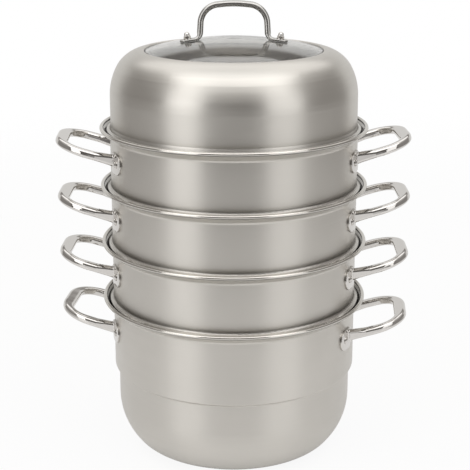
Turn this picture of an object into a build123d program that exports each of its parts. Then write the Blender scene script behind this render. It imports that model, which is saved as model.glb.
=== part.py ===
from build123d import *
import math
import os

os.makedirs("parts", exist_ok=True)

# Stacked steamer pot: a deep pot, three steaming tiers and a domed lid with a glass window.
# Millimetres. Z is the common axis, Z = 0 is the surface that the pot stands on,
# and the handles lie along X. Outlines are drawn as radius and height, and revolved.

# Sheet steel and the bore that all the vessels share
bore_r = 140.0
sheet = 0.7
wall_r = bore_r + sheet

# Rolled rim on a flared mouth, the same on the pot and on each tier
bead_r = 2.1
rim_r = 152.6
bead_ring_r = rim_r - bead_r
flare_drop = 9.5
flare_bend_r = 3.5

# Stop ring and spigot of what sits on a rim
stop_r = 145.2
spigot_clearance = 1.0
spigot_r = bore_r - spigot_clearance
seat_gap = 0.3
ring_bend_r = 1.4
stop_ring_top_drop = 1.4
stop_ring_rise = 0.8
ring_foot_bend_r = 2.0
throat_bend_r = 2.5

# Pot
base_cap_sheet = 0.5
base_core_height = 3.0
base_r = 87.0
base_edge_r = 1.5
pot_depth = 175.3
pot_step_depth = 81.6
pot_step_height = 3.0
pot_step_bend_r = 1.8
pot_lower_r = 136.0
bowl_bend_height = 29.5
bowl_bend_r = 74.0
bowl_floor_bend_r = 25.0
bowl_floor_r = 111.9

# Tiers
tier_pitch = 66.5
tier_names = ("lower", "middle", "upper")
ledge_r = 126.0
ledge_bend_r = 2.0
spigot_depth = 16.0

# Steam plate in each tier
plate_sheet = 0.8
plate_r = 136.0
plate_edge_height = 4.0
plate_edge_bend_r = 2.0
plate_seat_gap = 0.3
steam_hole_r = 3.6
steam_ring_pitch = 16.0
steam_ring_count = 7
holes_in_first_ring = 6

# Lid dome
lid_wall_r = 140.0
lid_spigot_depth = 12.0
lid_ring_r = 144.8
lid_ring_top_drop = 0.8
lid_crease_r = 141.2
lid_crease_drop = 0.2
lid_foot_rise = 3.6
lid_ring_bend_r = 1.2
lid_crease_bend_r = 0.9
lid_foot_bend_r = 2.0
dome_shoulder_height = 52.6
dome_shoulder_bend_r = 68.0
dome_crown_r = 123.6
dome_crown_drop = 1.9
dome_crown_bend_r = 36.3
dome_height = 87.4
window_r = 100.5
window_bend_r = 2.0
window_depth = 6.4
window_ledge_r = 94.5
window_ledge_bend_r = 0.8

# Glass and its seal
glass_thickness = 4.0
glass_rise = 13.0
glass_edge_drop = 1.2
seal_thickness = 1.0
seal_lip_drop = 0.4
seal_fit_gap = 0.05

# Loop handles: a rounded bar bent into a loop that rises outwards, on two riveted ears
handle_reach = 201.0
handle_rise_angle = 16.3
handle_root_drop = 31.4
arm_half_spacing = 46.0
arm_width = 11.0
handle_end_width = 14.0
loop_corner_r = 40.0
loop_inner_corner_r = 20.0
bar_height = 9.2
bar_edge_r = 3.7
root_length_share = 0.3534
root_half_spacing = 42.5
root_width = 7.0
root_height = 14.0
root_edge_r = 3.3
ear_tip_r = 12.0
ear_inner_reach = 17.0
ear_inner_corner_r = 6.0
ear_thickness = 2.2
ear_fit_gap = 0.05
ear_blend_r = 1.5
ear_edge_r = 0.8

# Rivets that hold the ears
rivet_drop = 32.8
rivet_half_angle = 21.9
rivet_shank_r = 2.45
rivet_hole_gap = 0.05
rivet_head_r = 4.25
rivet_head_height = 2.1
rivet_tail_r = 4.0
rivet_tail_height = 1.4
rivet_tail_gap = 0.08
rivet_edge_share = 0.3

# How far each vessel's handles are turned about Z from the X axis, in degrees
handle_turns = {"pot": -5.2, "lower": -1.6, "middle": 0.1, "upper": 2.4}

# How far each vessel's handles sit below the height that the drops above give
handle_lowerings = {"pot": 3.8, "lower": 0, "middle": 0, "upper": 0}

# Lid handle: a rounded bar bent into an arch, flattened into two bolted feet
lid_handle_height = 54.2
lid_leg_root_x = 37.9
lid_leg_top_x = 36.2
lid_arch_corner_r = 21.5
lid_arch_bow = 4.1
lid_arch_top_r = 125.0
lid_bar_width = 6.9
lid_bar_depth = 9.0
lid_bar_edge_r = 3.3
foot_bolt_x = 51.7
foot_thickness = 2.0
foot_tip_r = 7.0
foot_tip_reach = 9.0
foot_edge_r = 0.9
foot_bend_rise = 6.5
foot_bend_run = 6.0
foot_bend_width = 11.5
foot_bend_thickness = 4.6
foot_bend_edge_r = 2.2
foot_bend_mid_angle = 45.0
foot_pad_thickness = 0.5
foot_pad_inset = 0.6

# Bolts and cap nuts of the lid handle
bolt_r = 2.0
bolt_hole_gap = 0.3
bolt_head_r = 3.6
bolt_head_height = 2.6
bolt_head_edge_r = 0.7
bolt_socket_across = 2.5
bolt_socket_depth = 1.4
washer_r = 5.5
washer_thickness = 1.0
washer_gap = 0.02
nut_across_flats = 7.0
nut_height = 2.7
nut_flange_r = 4.4
nut_flange_height = 1.0
nut_cap_r = 3.2
nut_cap_straight = 1.2
nut_chamfer_angle = 30.0
nut_bore_gap = 0.1
bolt_end_gap = 0.5

cut_overrun = 5.0

# Most of a straight stretch that the bends at its ends may take up
straight_share = 0.98

# Heights worked out from the sizes above
bowl_bend_depth = pot_depth - bowl_bend_height
pot_floor_z = base_cap_sheet + base_core_height
pot_rim_z = pot_floor_z + pot_depth
rim_heights = {"pot": pot_rim_z}
for step, tier_name in enumerate(tier_names, start=1):
    rim_heights[tier_name] = pot_rim_z + step * tier_pitch
lid_z = rim_heights[tier_names[-1]]

# Seat of a stop ring: the flare's inner face, lifted by the gap square to it
flare_slope = flare_drop / (bead_ring_r - wall_r)
seat_lift = (sheet + seat_gap) * math.sqrt(1 + flare_slope**2)


def seat_height(radius):
    """Height of the seat above the rim's bead centre at a radius."""
    return (radius - wall_r) * flare_slope - flare_drop + seat_lift


def save(part, name):
    part.label = name
    export_step(part, f"parts/{name}.step")


def radial_plane(radius, angle, height):
    """Plane square to a radius, facing outwards, at an angle about Z."""
    turn = math.radians(angle)
    outwards = (math.cos(turn), math.sin(turn), 0)
    return Plane(
        origin=(radius * outwards[0], radius * outwards[1], height),
        x_dir=(-outwards[1], outwards[0], 0),
        z_dir=outwards,
    )


def rivet_angles(turn):
    """Angles about Z of the four rivets of a vessel whose handles are turned."""
    return [
        turn + side + half
        for side in (0, 180)
        for half in (-rivet_half_angle, rivet_half_angle)
    ]


def fit_bends(points, bends):
    """Bend radii, each kept within the straight stretches on either side of it."""
    runs = [math.dist(first, second) for first, second in zip(points, points[1:])]
    headings = [math.atan2(y2 - y1, x2 - x1) for (x1, y1), (x2, y2) in zip(points, points[1:])]
    tangents = [0]
    for bend_r, first, second in zip(bends, headings, headings[1:]):
        turn = abs(math.remainder(second - first, 2 * math.pi))
        tangents.append(bend_r * math.tan(turn / 2))
    tangents.append(0)
    shares = [
        min(1, straight_share * run / (first + second))
        for run, first, second in zip(runs, tangents, tangents[1:])
    ]
    return [bend_r * min(pair) for bend_r, pair in zip(bends, zip(shares, shares[1:]))]


def revolve_sheet(points, bends, bead_z=None):
    """Revolve an outer outline of bent sheet, with a rolled bead at its end if given."""
    with BuildPart() as shell:
        with BuildSketch(Plane.XZ):
            with BuildLine():
                FilletPolyline(*points, radius=fit_bends(points, bends))
                offset(amount=sheet, side=Side.LEFT)
            make_face()
            if bead_z is not None:
                with Locations((bead_ring_r, bead_z)):
                    Circle(bead_r)
        revolve(axis=Axis.Z)
    return shell.part


def rivet_height(vessel):
    return rim_heights[vessel] - rivet_drop - handle_lowerings[vessel]


def make_vessel(points, bends, name):
    """Sheet vessel with a flared, rolled rim and holes for the rivets of its handles."""
    rim_z = rim_heights[name]
    mouth = [(wall_r, rim_z - flare_drop), (bead_ring_r, rim_z)]
    with BuildPart() as vessel:
        add(revolve_sheet(points + mouth, bends + [flare_bend_r], rim_z))
        for angle in rivet_angles(handle_turns[name]):
            with BuildSketch(radial_plane(bore_r, angle, rivet_height(name))):
                Circle(rivet_shank_r + rivet_hole_gap)
            extrude(amount=cut_overrun, both=True, mode=Mode.SUBTRACT)
    return vessel.part


def make_pot_body():
    outline = [
        (0, pot_floor_z),
        (bowl_floor_r, pot_floor_z),
        (pot_lower_r, pot_rim_z - bowl_bend_depth),
        (pot_lower_r, pot_rim_z - pot_step_depth - pot_step_height),
        (wall_r, pot_rim_z - pot_step_depth),
    ]
    bends = [bowl_floor_bend_r, bowl_bend_r, pot_step_bend_r, pot_step_bend_r]
    return make_vessel(outline, bends, "pot")


def make_tier_body(name):
    below = rim_heights[name] - tier_pitch
    outline = [
        (ledge_r, below - spigot_depth),
        (spigot_r, below - spigot_depth),
        (spigot_r, below + seat_height(spigot_r)),
        (stop_r, below + seat_height(stop_r)),
        (stop_r, below - stop_ring_top_drop),
        (wall_r, below + stop_ring_rise),
    ]
    bends = [ledge_bend_r, throat_bend_r, ring_bend_r, ring_bend_r, ring_foot_bend_r]
    return make_vessel(outline, bends, name)


def make_steam_plate(name):
    """Perforated plate with an upturned edge, lying on the ledge of its tier."""
    plate_z = rim_heights[name] - tier_pitch - spigot_depth + sheet + plate_seat_gap
    outline = [(0, plate_z), (plate_r, plate_z), (plate_r, plate_z + plate_edge_height)]
    with BuildPart() as plate:
        with BuildSketch(Plane.XZ):
            with BuildLine():
                FilletPolyline(*outline, radius=fit_bends(outline, [plate_edge_bend_r]))
                offset(amount=plate_sheet, side=Side.LEFT)
            make_face()
        revolve(axis=Axis.Z)
        with BuildSketch(Plane.XY.offset(plate_z)):
            Circle(steam_hole_r)
            for ring in range(1, steam_ring_count + 1):
                with PolarLocations(ring * steam_ring_pitch, ring * holes_in_first_ring):
                    Circle(steam_hole_r)
        extrude(amount=cut_overrun, both=True, mode=Mode.SUBTRACT)
    return plate.part


def make_base_cap():
    cap_r = base_r - base_cap_sheet
    with BuildPart() as cap:
        Cylinder(base_r, pot_floor_z, align=(Align.CENTER, Align.CENTER, Align.MIN))
        fillet(cap.edges().group_by(Axis.Z)[0], base_edge_r)
        with BuildSketch(Plane.XY.offset(base_cap_sheet)):
            Circle(cap_r)
        extrude(amount=base_core_height, mode=Mode.SUBTRACT)
    return cap.part


def make_base_core():
    """Aluminium disc pressed between the pot's floor and the cap."""
    core_r = base_r - base_cap_sheet
    with BuildPart() as core:
        with BuildSketch(Plane.XY.offset(base_cap_sheet)):
            Circle(core_r)
        extrude(amount=base_core_height)
    return core.part


# The loop handle lies outwards along X, with the rim's bead centre at Z = 0
handle_rise = math.radians(handle_rise_angle)
ear_inner_r = wall_r + ear_fit_gap
ear_outer_r = ear_inner_r + ear_thickness
loop_root_x = wall_r * math.cos(math.radians(rivet_half_angle))
loop_length = (handle_reach - loop_root_x) / math.cos(handle_rise)
root_length = loop_length * root_length_share
loop_plane = Plane(
    origin=(loop_root_x, 0, -handle_root_drop),
    x_dir=(math.cos(handle_rise), 0, math.sin(handle_rise)),
    z_dir=(-math.sin(handle_rise), 0, math.cos(handle_rise)),
)


def across_loop(distance, side_offset=0):
    """Plane square to the arms at a distance outwards from the root."""
    return Plane(
        origin=loop_plane.from_local_coords((distance, side_offset, 0)),
        x_dir=(0, 1, 0),
        z_dir=loop_plane.x_dir,
    )


def make_loop():
    """Flat loop of rounded bar, cut off where the arms turn into the roots."""
    outer_half = arm_half_spacing + arm_width / 2
    inner_half = arm_half_spacing - arm_width / 2
    contours = (
        (outer_half, loop_length, loop_corner_r, Mode.ADD),
        (inner_half, loop_length - handle_end_width, loop_inner_corner_r, Mode.SUBTRACT),
    )
    with BuildPart() as loop:
        with BuildSketch(loop_plane):
            for half, length, corner_r, mode in contours:
                end = [(length, half), (length, -half)]
                arms = [(root_length, half), *end, (root_length, -half)]
                with BuildLine():
                    FilletPolyline((0, half), *end, (0, -half), radius=fit_bends(arms, [corner_r, corner_r]))
                    Line((0, -half), (0, half))
                make_face(mode=mode)
        extrude(amount=bar_height / 2, both=True)
        flat_axis = Axis(loop_plane.origin, loop_plane.z_dir)
        fillet(loop.faces().filter_by(flat_axis).edges(), bar_edge_r)
        split(bisect_by=across_loop(root_length), keep=Keep.TOP)
    return loop.part


def make_ears():
    """Two plates that follow the wall, each around a rivet at Z = 0."""
    band_height = 4 * ear_tip_r
    inner_length = ear_inner_reach + ear_inner_corner_r
    with BuildPart() as band:
        Cylinder(ear_outer_r, band_height)
        Cylinder(ear_inner_r, band_height, mode=Mode.SUBTRACT)
    with BuildPart() as ears:
        for side in (-1, 1):
            with BuildSketch(radial_plane(bore_r, side * rivet_half_angle, 0)):
                Circle(ear_tip_r)
                with Locations((side * (ear_inner_corner_r - ear_inner_reach) / 2, 0)):
                    RectangleRounded(inner_length, 2 * ear_tip_r, ear_inner_corner_r)
            extrude(amount=2 * cut_overrun)
        add(band.part, mode=Mode.INTERSECT)
    return ears.part


def lies_on_ear(edge):
    """True for an edge that lies on the outer face of the ears."""
    points = [edge.position_at(share) for share in (0, 0.5, 1)]
    return all(abs(math.hypot(point.X, point.Y) - ear_outer_r) < ear_fit_gap for point in points)


def is_ear_outline(edge):
    """True for an edge of the ear's own outline, away from the root of the arm."""
    point = edge.position_at(0.5)
    above_root = abs(point.Z + handle_root_drop) > root_height / 2 + ear_blend_r
    beside_root = abs(abs(point.Y) - root_half_spacing) > root_width / 2 + ear_blend_r
    return above_root or beside_root


def make_handle():
    sections = (
        (root_length, arm_half_spacing, arm_width, bar_height, bar_edge_r),
        (-ear_thickness, root_half_spacing, root_width, root_height, root_edge_r),
    )
    with BuildPart() as handle:
        add(make_loop())
        for side in (-1, 1):
            for distance, spacing, width, height, edge_r in sections:
                with BuildSketch(across_loop(distance, side * spacing)):
                    RectangleRounded(width, height, edge_r)
            loft()
        Cylinder(ear_inner_r, 4 * handle_root_drop, mode=Mode.SUBTRACT)
        with Locations((0, 0, -rivet_drop)):
            add(make_ears())
        fillet(handle.edges().filter_by(lies_on_ear).filter_by(is_ear_outline), ear_edge_r)
        blend_edges = handle.edges().filter_by(lies_on_ear).filter_by(is_ear_outline, reverse=True)
        fillet(blend_edges, ear_blend_r)
        for side in (-1, 1):
            with BuildSketch(radial_plane(bore_r, side * rivet_half_angle, -rivet_drop)):
                Circle(rivet_shank_r + rivet_hole_gap)
            extrude(amount=2 * cut_overrun, mode=Mode.SUBTRACT)
    return handle.part


def make_rivet():
    """Rivet outwards along X: formed tail inside the wall, domed head on the ear."""
    tail_x = math.sqrt(bore_r**2 - rivet_tail_r**2) - rivet_tail_gap
    tail_end_x = tail_x - rivet_tail_height
    tail_edge = rivet_tail_height * rivet_edge_share
    head_edge = rivet_head_height * rivet_edge_share
    head_start = (ear_outer_r + head_edge, rivet_head_r)
    head_top = (ear_outer_r + rivet_head_height, 0)
    with BuildPart() as rivet:
        with BuildSketch(Plane.XY):
            with BuildLine():
                Polyline(
                    head_top,
                    (tail_end_x, 0),
                    (tail_end_x, rivet_tail_r - tail_edge),
                    (tail_end_x + tail_edge, rivet_tail_r),
                    (tail_x, rivet_tail_r),
                    (tail_x, rivet_shank_r),
                    (ear_outer_r, rivet_shank_r),
                    (ear_outer_r, rivet_head_r),
                    head_start,
                )
                TangentArc(head_start, head_top, tangent=(0, 1), tangent_from_first=False)
            make_face()
        revolve(axis=Axis.X)
    return rivet.part


def placed_handle(vessel, side_angle):
    """The loop handle on a vessel, turned about Z with its side of the pot."""
    place_z = rim_heights[vessel] - handle_lowerings[vessel]
    with BuildPart() as handle:
        with Locations(Location((0, 0, place_z), (0, 0, handle_turns[vessel] + side_angle))):
            add(handle_blank)
    return handle.part


def placed_rivets(vessel):
    """The four rivets of a vessel, as separate solids."""
    with BuildPart() as rivets:
        for angle in rivet_angles(handle_turns[vessel]):
            with Locations(Location((0, 0, rivet_height(vessel)), (0, 0, angle))):
                add(rivet_blank)
    return rivets.part


# The glass is a cap of a sphere. Its feet, bolts and seals stand square to it
crown_z = lid_z + dome_height
window_floor_z = crown_z - window_depth
glass_r = window_r - seal_thickness
glass_edge_z = crown_z - glass_edge_drop
glass_apex_z = glass_edge_z + glass_rise
glass_sphere_r = (glass_r**2 + glass_rise**2) / (2 * glass_rise)
bolt_lean = math.degrees(math.asin(foot_bolt_x / glass_sphere_r))
under_glass_sphere_r = glass_sphere_r - glass_thickness


def bolt_plane(side):
    """Plane on top of the glass at a bolt, its Z out of the glass and its X away from the middle."""
    lean = math.radians(bolt_lean)
    outwards = Vector(side * math.cos(lean), 0, -math.sin(lean))
    normal = Vector(side * math.sin(lean), 0, math.cos(lean))
    middle = Vector(0, 0, glass_apex_z - glass_sphere_r)
    return Plane(origin=middle + normal * glass_sphere_r, x_dir=outwards, z_dir=normal)


def make_lid_dome():
    outline = [
        (spigot_r, lid_z - lid_spigot_depth),
        (spigot_r, lid_z + seat_height(spigot_r)),
        (lid_ring_r, lid_z + seat_height(lid_ring_r)),
        (lid_ring_r, lid_z - lid_ring_top_drop),
        (lid_crease_r, lid_z - lid_crease_drop),
        (lid_wall_r, lid_z + lid_foot_rise),
        (lid_wall_r, lid_z + dome_shoulder_height),
        (dome_crown_r, crown_z - dome_crown_drop),
        (window_r, crown_z),
        (window_r, window_floor_z),
        (window_ledge_r, window_floor_z),
    ]
    bends = [
        throat_bend_r,
        lid_ring_bend_r,
        lid_ring_bend_r,
        lid_crease_bend_r,
        lid_foot_bend_r,
        dome_shoulder_bend_r,
        dome_crown_bend_r,
        window_bend_r,
        window_ledge_bend_r,
    ]
    return revolve_sheet(outline, bends)


def glass_disc(gap=0):
    """Domed disc of even thickness, or the room for it with a gap all round."""
    with BuildPart() as disc:
        with BuildSketch(Plane.XY.offset(window_floor_z)):
            Circle(glass_r + gap)
        extrude(amount=window_depth + glass_rise)
        with Locations((0, 0, glass_apex_z - glass_sphere_r)):
            Sphere(glass_sphere_r + gap, mode=Mode.INTERSECT)
            Sphere(under_glass_sphere_r - gap, mode=Mode.SUBTRACT)
    return disc.part


def make_lid_glass():
    """Window glass with bolt holes square to it."""
    with BuildPart() as glass:
        add(glass_disc())
        for side in (-1, 1):
            with BuildSketch(bolt_plane(side)):
                Circle(bolt_r + bolt_hole_gap)
            extrude(amount=glass_thickness + cut_overrun, both=True, mode=Mode.SUBTRACT)
    return glass.part


def make_lid_seal():
    """Silicone ring between the glass and the window's ledge and lip."""
    lip_top_z = glass_edge_z - seal_lip_drop
    with BuildPart() as seal:
        with BuildSketch(Plane.XZ):
            with BuildLine():
                Polyline(
                    (window_ledge_r, window_floor_z),
                    (window_r - window_ledge_bend_r, window_floor_z),
                    (window_r, window_floor_z + window_ledge_bend_r),
                    (window_r, lip_top_z),
                    (window_ledge_r, lip_top_z),
                    close=True,
                )
            make_face()
        revolve(axis=Axis.Z)
        add(glass_disc(seal_fit_gap), mode=Mode.SUBTRACT)
    return seal.part


# The feet of the lid handle lie on pads on the glass
foot_root_x = lid_leg_root_x + foot_bend_run - foot_bolt_x


def foot_outline(inset, root_x):
    """Outline of a foot about its bolt, from its root to its rounded tip."""
    tip_x = foot_tip_reach - foot_tip_r
    tip_r = foot_tip_r - inset
    with Locations((tip_x, 0)):
        Circle(tip_r)
    with Locations(((root_x + tip_x) / 2, 0)):
        Rectangle(tip_x - root_x, 2 * tip_r)


def foot_section(side):
    """Plane across a foot at its root, facing the tip."""
    seat = bolt_plane(side)
    return Plane(
        origin=seat.from_local_coords((foot_root_x, 0, foot_pad_thickness + foot_thickness / 2)),
        x_dir=(0, 1, 0),
        z_dir=seat.x_dir,
    )


def make_foot(side):
    """Flat foot of the lid handle, cut off where the bar starts to flatten."""
    with BuildPart() as foot:
        with BuildSketch(bolt_plane(side).offset(foot_pad_thickness)):
            foot_outline(0, foot_root_x - cut_overrun)
        extrude(amount=foot_thickness)
        flat_axis = Axis(bolt_plane(side).origin, bolt_plane(side).z_dir)
        fillet(foot.faces().filter_by(flat_axis).edges(), foot_edge_r)
        split(bisect_by=foot_section(side), keep=Keep.TOP)
    return foot.part


def make_lid_handle():
    bow_angle = math.atan(lid_arch_bow / lid_leg_top_x)
    apex_z = (
        crown_z
        + lid_handle_height
        - lid_bar_width / 2
        + lid_arch_top_r * (1 / math.cos(bow_angle) - 1)
    )
    shoulder_z = apex_z - lid_arch_bow
    root_z = foot_section(1).origin.Z + foot_bend_rise
    root = Vector(lid_leg_root_x, 0, root_z)
    outline = [
        (lid_leg_root_x, root_z),
        (lid_leg_top_x, shoulder_z),
        (0, apex_z),
        (-lid_leg_top_x, shoulder_z),
        (-lid_leg_root_x, root_z),
    ]
    bends = [lid_arch_corner_r, lid_arch_top_r, lid_arch_corner_r]
    with BuildPart() as handle:
        with BuildLine(Plane.XZ) as arch:
            FilletPolyline(*outline, radius=fit_bends(outline, bends))
        with BuildSketch(Plane(origin=arch.line @ 0, x_dir=(0, 1, 0), z_dir=arch.line % 0)):
            RectangleRounded(lid_bar_depth, lid_bar_width, lid_bar_edge_r)
        sweep(path=arch.line)
        for side in (-1, 1):
            add(make_foot(side))
            foot_end = foot_section(side)
            run = abs(foot_end.origin.X) - lid_leg_root_x
            leg_end = Plane(
                origin=(side * root.X, 0, root.Z),
                x_dir=(0, 1, 0),
                z_dir=(side * (lid_leg_root_x - lid_leg_top_x), 0, root_z - shoulder_z),
            )
            half_turn = math.radians(foot_bend_mid_angle)
            bend = Plane(
                origin=(
                    side * (lid_leg_root_x + run * (1 - math.cos(half_turn))),
                    0,
                    root_z - foot_bend_rise * math.sin(half_turn),
                ),
                x_dir=(0, 1, 0),
                z_dir=(side * run, 0, -foot_bend_rise),
            )
            with BuildSketch(leg_end):
                RectangleRounded(lid_bar_depth, lid_bar_width, lid_bar_edge_r)
            with BuildSketch(bend):
                RectangleRounded(foot_bend_width, foot_bend_thickness, foot_bend_edge_r)
            with BuildSketch(foot_end):
                RectangleRounded(2 * foot_tip_r, foot_thickness, foot_edge_r)
            loft()
            with BuildSketch(bolt_plane(side)):
                Circle(bolt_r + bolt_hole_gap)
            extrude(amount=2 * cut_overrun, mode=Mode.SUBTRACT)
    return handle.part


def make_foot_pads():
    """Thin silicone pads between the feet and the glass."""
    with BuildPart() as pads:
        for side in (-1, 1):
            with BuildSketch(bolt_plane(side)):
                foot_outline(foot_pad_inset, foot_root_x)
                Circle(bolt_r + bolt_hole_gap, mode=Mode.SUBTRACT)
            extrude(amount=foot_pad_thickness)
    return pads.part


# Heights along a bolt, from the top of the glass
washer_sag = under_glass_sphere_r - math.sqrt(under_glass_sphere_r**2 - washer_r**2)
washer_top = -glass_thickness - washer_sag - washer_gap
bolt_head_top = washer_top - washer_thickness
foot_top = foot_pad_thickness + foot_thickness
nut_bore_top = foot_top + nut_flange_height + nut_height + nut_cap_straight
bolt_end = nut_bore_top - bolt_end_gap


def make_lid_washers():
    """Silicone washers between the glass and the bolt heads."""
    with BuildPart() as washers:
        for side in (-1, 1):
            with BuildSketch(bolt_plane(side).offset(bolt_head_top)):
                Circle(washer_r)
                Circle(bolt_r + bolt_hole_gap, mode=Mode.SUBTRACT)
            extrude(amount=washer_thickness)
    return washers.part


def make_bolt():
    """Pan head bolt with a hexagon socket, from below, with the top of the glass at Z = 0."""
    with BuildPart() as bolt:
        with BuildSketch(Plane.XY.offset(bolt_head_top)):
            Circle(bolt_head_r)
        extrude(amount=-bolt_head_height)
        fillet(bolt.edges().group_by(Axis.Z)[0], bolt_head_edge_r)
        with BuildSketch(Plane.XY.offset(bolt_head_top)):
            Circle(bolt_r)
        extrude(amount=bolt_end - bolt_head_top)
        with BuildSketch(Plane.XY.offset(bolt_head_top - bolt_head_height)):
            RegularPolygon(bolt_socket_across / math.sqrt(3), 6)
        extrude(amount=bolt_socket_depth, mode=Mode.SUBTRACT)
    return bolt.part


def make_nut():
    """Flanged cap nut, with the top of the glass at Z = 0."""
    hexagon_z = foot_top + nut_flange_height
    cap_z = hexagon_z + nut_height
    corner_r = nut_across_flats / math.sqrt(3)
    corner_drop = (corner_r - nut_cap_r) * math.tan(math.radians(nut_chamfer_angle))
    with BuildPart() as nut:
        with BuildSketch(Plane.XY.offset(hexagon_z)):
            RegularPolygon(corner_r, 6)
        extrude(amount=nut_height)
        with BuildSketch(Plane.XZ):
            with BuildLine():
                Polyline(
                    (0, hexagon_z),
                    (corner_r, hexagon_z),
                    (corner_r, cap_z - corner_drop),
                    (nut_cap_r, cap_z),
                    (0, cap_z),
                    close=True,
                )
            make_face()
        revolve(axis=Axis.Z, mode=Mode.INTERSECT)
        with BuildSketch(Plane.XY.offset(foot_top)):
            Circle(nut_flange_r)
        extrude(amount=nut_flange_height)
        with BuildSketch(Plane.XY.offset(cap_z)):
            Circle(nut_cap_r)
        extrude(amount=nut_cap_straight)
        with Locations((0, 0, cap_z + nut_cap_straight)):
            Sphere(nut_cap_r)
        with BuildSketch(Plane.XY.offset(foot_top)):
            Circle(bolt_r + nut_bore_gap)
        extrude(amount=nut_bore_top - foot_top, mode=Mode.SUBTRACT)
    return nut.part


def placed_on_feet(blank):
    """One copy of a fastener at each foot, as separate solids."""
    with BuildPart() as pair:
        for side in (-1, 1):
            with Locations(bolt_plane(side)):
                add(blank)
    return pair.part


# Pieces shared by several nodes
handle_blank = make_handle()
rivet_blank = make_rivet()

# Pot
save(make_pot_body(), "pot_body")
save(make_base_core(), "pot_base_core")
save(make_base_cap(), "pot_base_cap")
save(placed_handle("pot", 180), "pot_handle_left")
save(placed_handle("pot", 0), "pot_handle_right")
save(placed_rivets("pot"), "pot_rivets")

# Tiers
for tier_name in tier_names:
    save(make_tier_body(tier_name), f"tier_{tier_name}_body")
    save(make_steam_plate(tier_name), f"tier_{tier_name}_plate")
    save(placed_handle(tier_name, 180), f"tier_{tier_name}_handle_left")
    save(placed_handle(tier_name, 0), f"tier_{tier_name}_handle_right")
    save(placed_rivets(tier_name), f"tier_{tier_name}_rivets")

# Lid
save(make_lid_dome(), "lid_dome")
save(make_lid_glass(), "lid_glass")
save(make_lid_seal(), "lid_seal")
save(make_lid_handle(), "lid_handle")
save(make_foot_pads(), "lid_foot_pads")
save(make_lid_washers(), "lid_washers")
save(placed_on_feet(make_bolt()), "lid_bolts")
save(placed_on_feet(make_nut()), "lid_nuts")

print("steamer height", round(crown_z + lid_handle_height, 2))
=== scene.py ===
import math
import bpy
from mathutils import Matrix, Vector


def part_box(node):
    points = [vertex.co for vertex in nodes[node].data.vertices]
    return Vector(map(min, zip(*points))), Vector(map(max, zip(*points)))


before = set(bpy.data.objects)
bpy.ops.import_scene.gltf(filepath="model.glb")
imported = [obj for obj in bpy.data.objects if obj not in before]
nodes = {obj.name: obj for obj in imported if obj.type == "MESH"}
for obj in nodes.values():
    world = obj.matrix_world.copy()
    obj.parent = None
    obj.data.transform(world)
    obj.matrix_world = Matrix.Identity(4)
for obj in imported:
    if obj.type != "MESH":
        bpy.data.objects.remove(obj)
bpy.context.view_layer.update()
print("frame loaded:", len(nodes), "nodes")

# Places that the finishes follow, in metres
tiers = ("tier_lower", "tier_middle", "tier_upper")
vessels = ("pot",) + tiers
rimTops = {vessel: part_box(vessel + "_body")[1][2] for vessel in vessels}
tierPitch = rimTops["tier_lower"] - rimTops["pot"]


# Node helpers

def newMaterial(name):
    material = bpy.data.materials.new(name)
    material.use_nodes = True
    tree = material.node_tree
    return material, tree, tree.nodes["Principled BSDF"]


def setUp(tree, node, values):
    # each value is a plain number or colour, or what comes out of another node
    for socket, value in values.items():
        if isinstance(value, bpy.types.NodeSocket):
            tree.links.new(value, node.inputs[socket])
        else:
            node.inputs[socket].default_value = value


def addNode(tree, kind, values=None, **settings):
    node = tree.nodes.new(kind)
    for key, value in settings.items():
        setattr(node, key, value)
    setUp(tree, node, values or {})
    return node


def calc(tree, operation, first, second=0.0, third=0.0):
    values = {0: first, 1: second, 2: third}
    return addNode(tree, "ShaderNodeMath", values, operation=operation).outputs[0]


def ramp(tree, value, low, high, outLow=0.0, outHigh=1.0):
    values = {"Value": value, "From Min": low, "From Max": high, "To Min": outLow, "To Max": outHigh}
    return addNode(tree, "ShaderNodeMapRange", values, interpolation_type="SMOOTHSTEP").outputs[0]


def above(tree, value, edge, blend):
    # one above the edge and zero below it
    return ramp(tree, value, edge - blend, edge + blend)


def below(tree, value, edge, blend):
    return ramp(tree, value, edge - blend, edge + blend, 1.0, 0.0)


def noise(tree, vector, scale, detail, roughness=0.55):
    values = {"Vector": vector, "Scale": scale, "Detail": detail, "Roughness": roughness}
    return addNode(tree, "ShaderNodeTexNoise", values).outputs[0]


def tint(tree, factor, first, second):
    values = {0: factor, 6: first, 7: second}
    return addNode(tree, "ShaderNodeMix", values, data_type="RGBA").outputs[2]


def bump(tree, height, depth, normal=None):
    values = {"Height": height, "Distance": depth}
    if normal:
        values["Normal"] = normal
    return addNode(tree, "ShaderNodeBump", values).outputs[0]


def objectPlace(tree):
    return addNode(tree, "ShaderNodeTexCoord").outputs["Object"]


def parts(tree, vector):
    return addNode(tree, "ShaderNodeSeparateXYZ", {0: vector}).outputs


def axisDistance(tree, x, y):
    squares = calc(tree, "ADD", calc(tree, "MULTIPLY", x, x), calc(tree, "MULTIPLY", y, y))
    return calc(tree, "SQRT", squares)


def dress(material, *names):
    for name in names:
        nodes[name].data.materials.clear()
        nodes[name].data.materials.append(material)


# Painted shade in corners that little light reaches: under the beads, beside the ears, in the grooves of the
# seats. The base colour is darkened towards near black where ambient occlusion finds nearby surfaces
cornerShade = {
    "reach": 0.012,
    "samples": 6,
    "light": (0.2, 0.72),
    "colour": (0.03, 0.0294, 0.0285, 1),
}


# paints shade into the colour: darker where ambient occlusion finds surfaces close by
def paintCornerShade(tree, colour):
    values = {"Distance": cornerShade["reach"]}
    light = addNode(tree, "ShaderNodeAmbientOcclusion", values, samples=cornerShade["samples"]).outputs["AO"]
    return tint(tree, ramp(tree, light, *cornerShade["light"]), cornerShade["colour"], colour)


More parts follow.
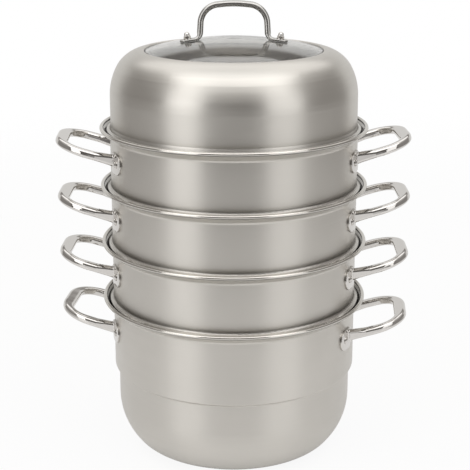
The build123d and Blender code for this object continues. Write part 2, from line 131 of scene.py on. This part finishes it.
# Satin walls, brushed round the axis, with polished rims and stop rings. The noise of the brushed
# lines changes slowly round the axis and fast along the wall's outline. Heights are in metres down
# from the rim, but ringFoot is up from where the rim below lies
satin = {
    "colour": (0.635, 0.61, 0.57, 1),
    "coolColour": (0.62, 0.60, 0.56, 1),
    "roughness": (0.32, 0.42),
    "polishedRoughness": 0.15,
    "anisotropy": 0.5,
    "anisotropyTurn": 0.25,
    "linesAlong": 5.0,
    "linesAcross": 1700.0,
    "lineDetail": 4.0,
    "lineDepth": 0.000012,
    "lineCalm": 0.8,
    "cloudScale": 14.0,
    "cloudDetail": 2.0,
    "cloudShare": 0.4,
    "noiseSpan": (0.3, 0.7),
    "beadHeight": 0.0048,
    "flareHeight": 0.0125,
    "ringFoot": -0.0025,
    "edgeBlend": 0.0008,
    # band of painted shade under the bead, in metres down from the rim, and how dark it is
    "underBeadShade": (0.0045, 0.0030),
    "underBeadDarkness": 0.25,
}


def brushedAround(tree, x, y, z, radius):
    along = satin["linesAlong"]
    across = satin["linesAcross"]
    return addNode(tree, "ShaderNodeCombineXYZ", {
        0: calc(tree, "MULTIPLY_ADD", x, along, calc(tree, "MULTIPLY", radius, across)),
        1: calc(tree, "MULTIPLY", y, along),
        2: calc(tree, "MULTIPLY", z, across),
    }).outputs[0]


def satinSteel(name, rimTop=None, ringFoot=None):
    material, tree, shader = newMaterial(name)
    coordinates = objectPlace(tree)
    x, y, z = parts(tree, coordinates)
    radius = axisDistance(tree, x, y)
    lines = noise(tree, brushedAround(tree, x, y, z, radius), 1.0, satin["lineDetail"])
    clouds = noise(tree, coordinates, satin["cloudScale"], satin["cloudDetail"])
    lineShare = calc(tree, "MULTIPLY", lines, 1 - satin["cloudShare"])
    mixed = calc(tree, "MULTIPLY_ADD", clouds, satin["cloudShare"], lineShare)
    rough = ramp(tree, mixed, *satin["noiseSpan"], *satin["roughness"])
    colour = tint(tree, clouds, satin["colour"], satin["coolColour"])
    blend = satin["edgeBlend"]
    polished = None
    if rimTop is not None:
        # the bead is polished all round, and the flare only on its inner side
        nx, ny, nz = parts(tree, addNode(tree, "ShaderNodeNewGeometry").outputs["True Normal"])
        outwards = calc(tree, "ADD", calc(tree, "MULTIPLY", nx, x), calc(tree, "MULTIPLY", ny, y))
        bead = above(tree, z, rimTop - satin["beadHeight"], blend)
        flare = above(tree, z, rimTop - satin["flareHeight"], blend)
        inside = calc(tree, "MULTIPLY", flare, calc(tree, "LESS_THAN", outwards, 0.0))
        polished = calc(tree, "MAXIMUM", bead, inside)
        # painted shade: a dark band on the outside just under the bead, where its underside is in shade
        shadeFoot, shadeTop = [rimTop - drop for drop in satin["underBeadShade"]]
        underBeadShade = calc(tree, "MULTIPLY", above(tree, z, shadeFoot, blend / 2), below(tree, z, shadeTop, blend / 2))
        underBeadShade = calc(tree, "MULTIPLY", underBeadShade, calc(tree, "GREATER_THAN", outwards, 0.0))
        underBeadShadeColour = [part * satin["underBeadDarkness"] for part in satin["colour"][:3]] + [1]
        colour = tint(tree, underBeadShade, colour, underBeadShadeColour)
    if ringFoot is not None:
        ring = below(tree, z, ringFoot, blend)
        polished = ring if polished is None else calc(tree, "MAXIMUM", polished, ring)
    if polished is not None:
        smoother = calc(tree, "SUBTRACT", satin["polishedRoughness"], rough)
        rough = calc(tree, "MULTIPLY_ADD", smoother, polished, rough)
        calm = calc(tree, "MULTIPLY_ADD", polished, -satin["lineCalm"], 1.0)
        lines = calc(tree, "MULTIPLY", lines, calm)
    # the base colour carries painted shade in the corners
    setUp(tree, shader, {
        "Metallic": 1.0,
        "Anisotropic": satin["anisotropy"],
        "Anisotropic Rotation": satin["anisotropyTurn"],
        "Tangent": addNode(tree, "ShaderNodeTangent", direction_type="RADIAL", axis="Z").outputs[0],
        "Base Color": paintCornerShade(tree, colour),
        "Roughness": rough,
        "Normal": bump(tree, lines, satin["lineDepth"]),
    })
    return material


for vessel in vessels:
    ringFoot = rimTops[vessel] - tierPitch + satin["ringFoot"] if vessel in tiers else None
    dress(satinSteel(vessel + "Satin", rimTops[vessel], ringFoot), vessel + "_body")
dress(satinSteel("lidSatin", None, rimTops["tier_upper"] + satin["ringFoot"]), "lid_dome")
print("satin walls done")


# Base cap, turned in rings, and the aluminium disc inside it
base = {
    "capColour": (0.58, 0.575, 0.565, 1),
    "discColour": (0.68, 0.68, 0.69, 1),
    "roughness": (0.3, 0.42),
    "rings": 2600.0,
    "ringDepth": 0.00002,
    "wobbleScale": 30.0,
    "wobbleDetail": 2.0,
    "wobble": 3.0,
    "noiseSpan": (0.3, 0.7),
}


def turnedSteel(name, colour):
    material, tree, shader = newMaterial(name)
    coordinates = objectPlace(tree)
    x, y, z = parts(tree, coordinates)
    wobble = noise(tree, coordinates, base["wobbleScale"], base["wobbleDetail"])
    wander = calc(tree, "MULTIPLY", wobble, base["wobble"])
    rings = calc(tree, "SINE", calc(tree, "MULTIPLY_ADD", axisDistance(tree, x, y), base["rings"], wander))
    setUp(tree, shader, {
        "Metallic": 1.0,
        "Base Color": colour,
        "Roughness": ramp(tree, wobble, *base["noiseSpan"], *base["roughness"]),
        "Normal": bump(tree, rings, base["ringDepth"]),
    })
    return material


dress(turnedSteel("turnedBase", base["capColour"]), "pot_base_cap")
dress(turnedSteel("pressedAluminium", base["discColour"]), "pot_base_core")
print("base done")


# Steam plates: satin sheet with a straight grain
plate = {
    "colour": (0.56, 0.555, 0.545, 1),
    "roughness": (0.26, 0.36),
    "grain": 900.0,
    "grainDetail": 3.0,
    "grainStretch": (0.03, 1, 1),
    "grainDepth": 0.000015,
    "cloudScale": 18.0,
    "cloudDetail": 2.0,
    "noiseSpan": (0.3, 0.7),
}


def plateSteel():
    material, tree, shader = newMaterial("plateSteel")
    coordinates = objectPlace(tree)
    stretched = addNode(tree, "ShaderNodeMapping", {0: coordinates, 3: plate["grainStretch"]}).outputs[0]
    grain = noise(tree, stretched, plate["grain"], plate["grainDetail"])
    clouds = noise(tree, coordinates, plate["cloudScale"], plate["cloudDetail"])
    setUp(tree, shader, {
        "Metallic": 1.0,
        "Base Color": plate["colour"],
        "Roughness": ramp(tree, clouds, *plate["noiseSpan"], *plate["roughness"]),
        "Normal": bump(tree, grain, plate["grainDepth"]),
    })
    return material


dress(plateSteel(), *[tier + "_plate" for tier in tiers])
print("steam plates done")


# Polished handles and fasteners, with faint buffing marks, handling smudges and a slight waviness.
# Each noise has its scale and detail, and the first two their roughness
polish = {
    "smudges": (60.0, 4.0, 0.65),
    "smudgeSpan": (0.35, 0.7),
    "scratches": (700.0, 4.0, 0.7),
    "scratchDepth": 0.000006,
    "waves": (55.0, 1.0),
    "waveDepth": 0.00012,
}
loops = {"stretch": (0.08, 1, 1), "colour": (0.68, 0.66, 0.635, 1), "roughness": (0.04, 0.09)}
fasteners = {"stretch": (1, 1, 1), "colour": (0.68, 0.66, 0.635, 1), "roughness": (0.04, 0.09)}
lidHandle = {"stretch": (0.1, 1, 1), "colour": (0.5, 0.49, 0.47, 1), "roughness": (0.2, 0.3)}


def polishedSteel(name, look):
    material, tree, shader = newMaterial(name)
    coordinates = objectPlace(tree)
    stretched = addNode(tree, "ShaderNodeMapping", {0: coordinates, 3: look["stretch"]}).outputs[0]
    smudges = noise(tree, coordinates, *polish["smudges"])
    scratches = noise(tree, stretched, *polish["scratches"])
    wavy = bump(tree, noise(tree, coordinates, *polish["waves"]), polish["waveDepth"])
    setUp(tree, shader, {
        "Metallic": 1.0,
        "Base Color": look["colour"],
        "Roughness": ramp(tree, smudges, *polish["smudgeSpan"], *look["roughness"]),
        "Normal": bump(tree, scratches, polish["scratchDepth"], wavy),
    })
    return material


loopNodes = [vessel + "_handle_" + side for vessel in vessels for side in ("left", "right")]
rivetNodes = [vessel + "_rivets" for vessel in vessels]
dress(polishedSteel("loopPolish", loops), *loopNodes)
dress(polishedSteel("fastenerPolish", fasteners), *rivetNodes, "lid_bolts", "lid_nuts")
dress(polishedSteel("lidHandleBrushed", lidHandle), "lid_handle")
print("handles and fasteners done")


# Window glass with its silicone ring, pads and washers
glass = {
    "colour": (0.955, 0.945, 0.92, 1),
    "roughness": 0.02,
    "ior": 1.5,
    "waveScale": 9.0,
    "waveDetail": 1.0,
    "waveDepth": 0.0003,
}
silicone = {
    "colour": (0.55, 0.55, 0.53, 1),
    "sealColour": (0.06, 0.06, 0.06, 1),
    "roughness": 0.45,
    "clear": 0.25,
    "grainScale": 1500.0,
    "grainDetail": 2.0,
    "grainDepth": 0.00002,
}


def windowGlass():
    material, tree, shader = newMaterial("windowGlass")
    waves = noise(tree, objectPlace(tree), glass["waveScale"], glass["waveDetail"])
    setUp(tree, shader, {
        "Base Color": glass["colour"],
        "Roughness": glass["roughness"],
        "IOR": glass["ior"],
        "Transmission Weight": 1.0,
        "Normal": bump(tree, waves, glass["waveDepth"]),
    })
    return material


def greySilicone(name, colour):
    material, tree, shader = newMaterial(name)
    grain = noise(tree, objectPlace(tree), silicone["grainScale"], silicone["grainDetail"])
    setUp(tree, shader, {
        "Base Color": colour,
        "Roughness": silicone["roughness"],
        "Transmission Weight": silicone["clear"],
        "Normal": bump(tree, grain, silicone["grainDepth"]),
    })
    return material


dress(windowGlass(), "lid_glass")
dress(greySilicone("greySilicone", silicone["colour"]), "lid_foot_pads", "lid_washers")
dress(greySilicone("darkSilicone", silicone["sealColour"]), "lid_seal")
print("window done")


# Pale floor, in metres. The lens sees it nearly white, with a soft shadow, and it fades into the
# background. What the steel mirrors of it has its own white and its own fade
floor = {
    "radius": 2.4,
    "sides": 96,
    "colour": (0.9, 0.9, 0.9, 1),
    "specular": 1.0,
    "roughness": 0.15,
    "seenWhite": 0.92,
    "mirroredWhite": 0.4,
    "seenFade": (0.7, 2.2),
    "mirroredFade": (0.6, 2.2),
}
white = (1, 1, 1, 1)


def makeFloor():
    turns = [2 * math.pi * step / floor["sides"] for step in range(floor["sides"])]
    points = [(floor["radius"] * math.cos(turn), floor["radius"] * math.sin(turn), 0) for turn in turns]
    mesh = bpy.data.meshes.new("floor")
    mesh.from_pydata(points, [], [range(floor["sides"])])
    piece = bpy.data.objects.new("floor", mesh)
    bpy.context.collection.objects.link(piece)
    material, tree, shader = newMaterial("paleFloor")
    x, y, z = parts(tree, objectPlace(tree))
    radius = axisDistance(tree, x, y)
    setUp(tree, shader, {
        "Base Color": floor["colour"],
        "Roughness": floor["roughness"],
        "Specular IOR Level": floor["specular"],
    })
    paths = addNode(tree, "ShaderNodeLightPath").outputs
    seen = paths["Is Camera Ray"]
    bright = addNode(tree, "ShaderNodeEmission", {0: white, 1: 1.0}).outputs[0]
    mirroredShare = calc(tree, "MULTIPLY", paths["Is Glossy Ray"], floor["mirroredWhite"])
    brightShare = calc(tree, "MULTIPLY_ADD", seen, floor["seenWhite"], mirroredShare)
    pale = addNode(tree, "ShaderNodeMixShader", {0: brightShare, 1: shader.outputs[0], 2: bright}).outputs[0]
    seenFade = ramp(tree, radius, *floor["seenFade"])
    mirroredFade = ramp(tree, radius, *floor["mirroredFade"])
    fade = calc(tree, "MULTIPLY_ADD", calc(tree, "SUBTRACT", seenFade, mirroredFade), seen, mirroredFade)
    clear = addNode(tree, "ShaderNodeBsdfTransparent").outputs[0]
    mixed = addNode(tree, "ShaderNodeMixShader", {0: fade, 1: pale, 2: clear}).outputs[0]
    tree.links.new(mixed, tree.nodes["Material Output"].inputs[0])
    mesh.materials.append(material)


makeFloor()
print("floor done")


# Studio that the steel mirrors: a white backdrop, dim sides, a dim front with a glow higher up, and a
# dark ceiling, with a soft box on each side in front and two overhead. Angles are in degrees: near
# is away from the front, foot, top and rise are up from the horizon, azimuth is round from the front
studio = {
    "background": 1.0,
    "mattLight": 0.35,
    "ceiling": 0.04,
    "ceilingTint": (1.0, 0.95, 0.91, 1),
    "brightTint": (1.0, 0.995, 0.98, 1),
    "tintSpan": (0.1, 0.9),
    "zones": (
        {"name": "backdrop", "near": (112, 134), "foot": (-91, -90), "top": (20, 27), "level": 0.8},
        {"name": "sides", "near": (35, 75), "foot": (-91, -90), "top": (28, 50), "level": 0.3},
        {"name": "front", "near": (-1, 0), "foot": (-91, -90), "top": (30, 50), "level": 0.14},
        {"name": "glow", "near": (-1, 0), "foot": (14, 38), "top": (55, 80), "level": 0.5},
    ),
    "boxes": (
        {"name": "leftBox", "azimuth": -44, "rise": 12, "width": 0.95, "tall": 1.25, "level": 1.6},
        {"name": "rightBox", "azimuth": 45, "rise": 12, "width": 1.0, "tall": 1.25, "level": 1.2},
        {"name": "topBox", "azimuth": 0, "rise": 66, "width": 3.0, "tall": 1.45, "level": 1.55},
        {"name": "rearTopBox", "azimuth": 180, "rise": 64, "width": 2.6, "tall": 1.7, "level": 0.85},
    ),
    "distance": 1.7,
    "aim": (0, 0, 0.3),
}


def blendBy(tree, share, first, second):
    return calc(tree, "MULTIPLY_ADD", calc(tree, "SUBTRACT", second, first), share, first)


def makeWorld():
    world = bpy.data.worlds.new("studio")
    bpy.context.scene.world = world
    world.use_nodes = True
    world.cycles.sampling_method = "NONE"
    tree = world.node_tree
    x, y, z = parts(tree, addNode(tree, "ShaderNodeTexCoord").outputs["Generated"])
    degrees = math.degrees(1)
    turned = calc(tree, "MULTIPLY", calc(tree, "ARCTAN2", x, calc(tree, "MULTIPLY", y, -1.0)), degrees)
    away = calc(tree, "ABSOLUTE", turned)
    rise = calc(tree, "MULTIPLY", calc(tree, "ARCSINE", z), degrees)
    level = studio["ceiling"]
    for zone in studio["zones"]:
        side = ramp(tree, away, *zone["near"])
        overFoot = ramp(tree, rise, *zone["foot"])
        underTop = ramp(tree, rise, *zone["top"], 1.0, 0.0)
        inZone = calc(tree, "MULTIPLY", side, calc(tree, "MULTIPLY", overFoot, underTop))
        level = calc(tree, "MAXIMUM", level, calc(tree, "MULTIPLY", inZone, zone["level"]))
    paths = addNode(tree, "ShaderNodeLightPath").outputs
    level = blendBy(tree, paths["Is Diffuse Ray"], level, studio["mattLight"])
    level = blendBy(tree, paths["Is Camera Ray"], level, studio["background"])
    warmth = tint(tree, ramp(tree, level, *studio["tintSpan"]), studio["ceilingTint"], studio["brightTint"])
    setUp(tree, tree.nodes["Background"], {
        "Strength": level,
        "Color": tint(tree, paths["Is Camera Ray"], warmth, white),
    })


def makeBox(box):
    lamp = bpy.data.lights.new(box["name"], "AREA")
    lamp.shape = "RECTANGLE"
    lamp.size = box["width"]
    lamp.size_y = box["tall"]
    lamp.energy = box["level"] * math.pi * box["width"] * box["tall"]
    piece = bpy.data.objects.new(box["name"], lamp)
    bpy.context.collection.objects.link(piece)
    turn = math.radians(box["azimuth"])
    lift = math.radians(box["rise"])
    outwards = Vector((math.cos(lift) * math.sin(turn), -math.cos(lift) * math.cos(turn), math.sin(lift)))
    piece.location = Vector(studio["aim"]) + outwards * studio["distance"]
    piece.rotation_euler = (-outwards).to_track_quat("-Z", "Y").to_euler()
    piece.visible_camera = False


makeWorld()
for box in studio["boxes"]:
    makeBox(box)
print("studio done")


# Camera at the photograph's angle: a long lens, looking down a little, framed by its shift
camera = {
    "place": (0.0012, -1.3402, 0.6565),
    "pitch": 13.77,
    "pixels": 470,
    "focalPixels": 1200.0,
    "axisRow": 167.7,
    "sensor": 36,
}


def makeCamera():
    data = bpy.data.cameras.new("camera")
    data.sensor_width = camera["sensor"]
    data.lens = camera["focalPixels"] / camera["pixels"] * camera["sensor"]
    data.shift_y = (camera["axisRow"] - camera["pixels"] / 2) / camera["pixels"]
    piece = bpy.data.objects.new("camera", data)
    bpy.context.collection.objects.link(piece)
    piece.location = camera["place"]
    piece.rotation_euler = (math.radians(90 - camera["pitch"]), 0, 0)
    bpy.context.scene.camera = piece


makeCamera()
bpy.context.scene.view_settings.view_transform = "Standard"
print("camera done")
